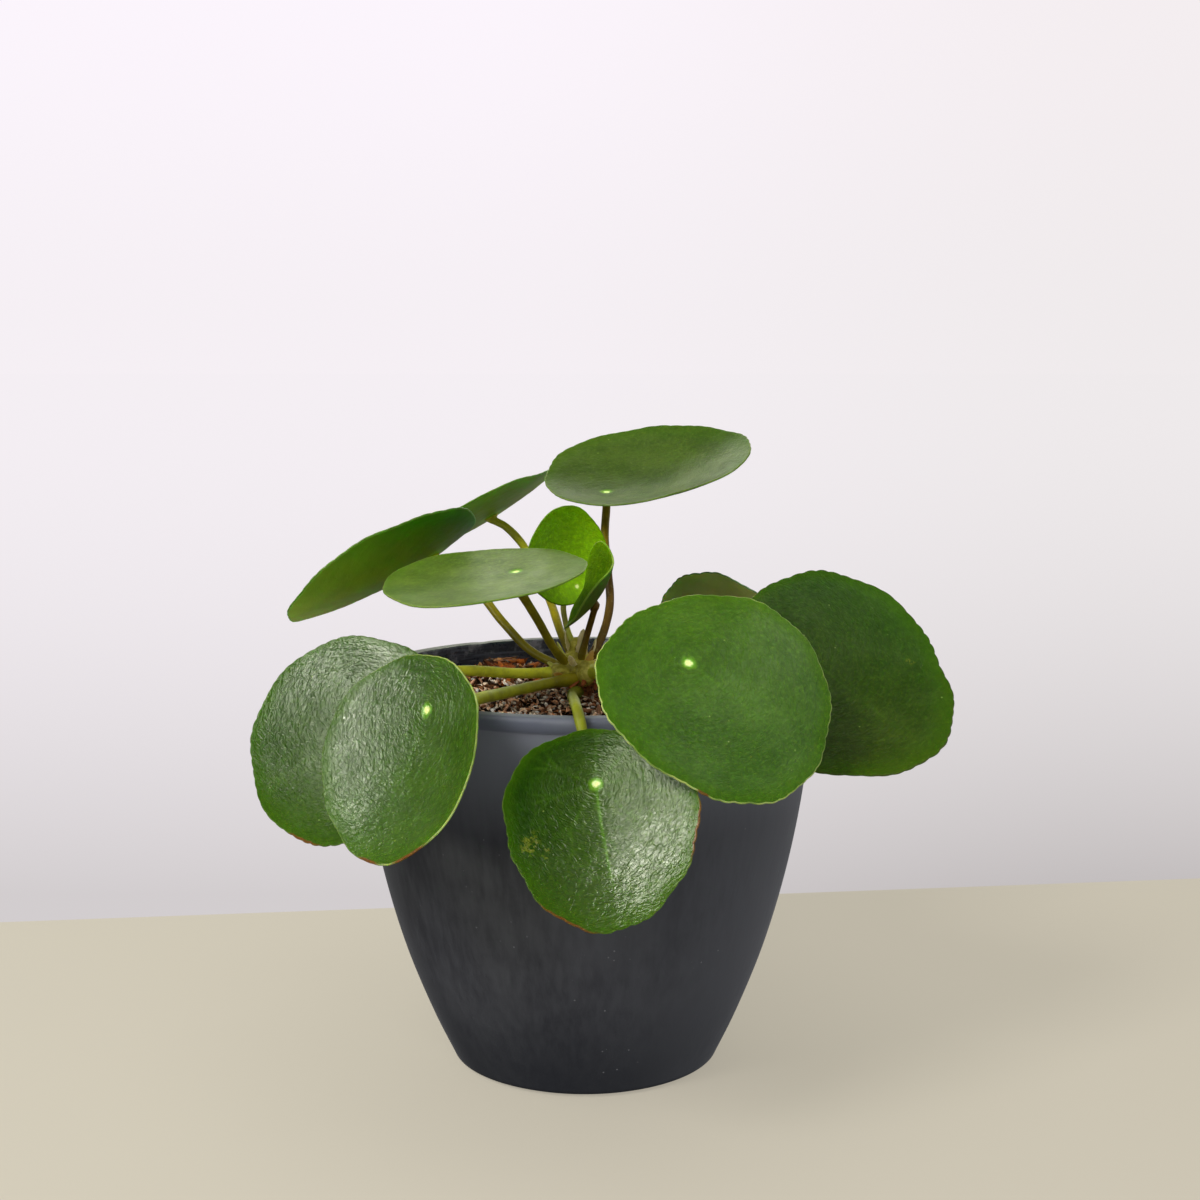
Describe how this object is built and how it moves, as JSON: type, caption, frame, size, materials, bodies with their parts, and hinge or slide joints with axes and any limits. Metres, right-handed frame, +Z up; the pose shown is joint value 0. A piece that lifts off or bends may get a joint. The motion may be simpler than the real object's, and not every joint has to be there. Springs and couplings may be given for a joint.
{
  "type": "potted pilea plant",
  "caption": "Pilea house plant with round leaves held near their centres on slim stalks, growing from a short stem in a plain dark tapered pot filled with potting mix.",
  "frame": {"origin": "centre of the pot's base, on the surface it stands on", "axes": "+Z up along the pot's axis, -Y towards the viewer of the picture, +X to the viewer's right"},
  "size_m": [0.1942, 0.1999, 0.1891],
  "materials": {
    "pot": "dark charcoal, slightly satin, faint vertical streaks",
    "potting_mix": "coarse bark and fibre mix, dull",
    "stem": "short bark-brown trunk with straw-coloured scales",
    "leaf": "waxy deep green, finely wrinkled",
    "young_leaf": "waxy bright green, thin",
    "stalk": "smooth yellow-green to olive brown"
  },
  "bodies": {
    "root": {"pot": "pot", "potting_mix": "potting_mix", "stem": "stem", "leaf_01": "leaf", "leaf_02": "leaf", "leaf_03": "leaf", "leaf_04": "leaf", "leaf_05": "young_leaf", "leaf_06": "young_leaf", "leaf_07": "leaf", "leaf_08": "leaf", "leaf_09": "leaf", "leaf_10": "leaf", "leaf_11": "leaf", "leaf_12": "leaf", "stalk_01": "stalk", "stalk_02": "stalk", "stalk_03": "stalk", "stalk_04": "stalk", "stalk_05": "stalk", "stalk_06": "stalk", "stalk_07": "stalk", "stalk_08": "stalk", "stalk_09": "stalk", "stalk_10": "stalk", "stalk_11": "stalk", "stalk_12": "stalk"}
  },
  "joints": []
}
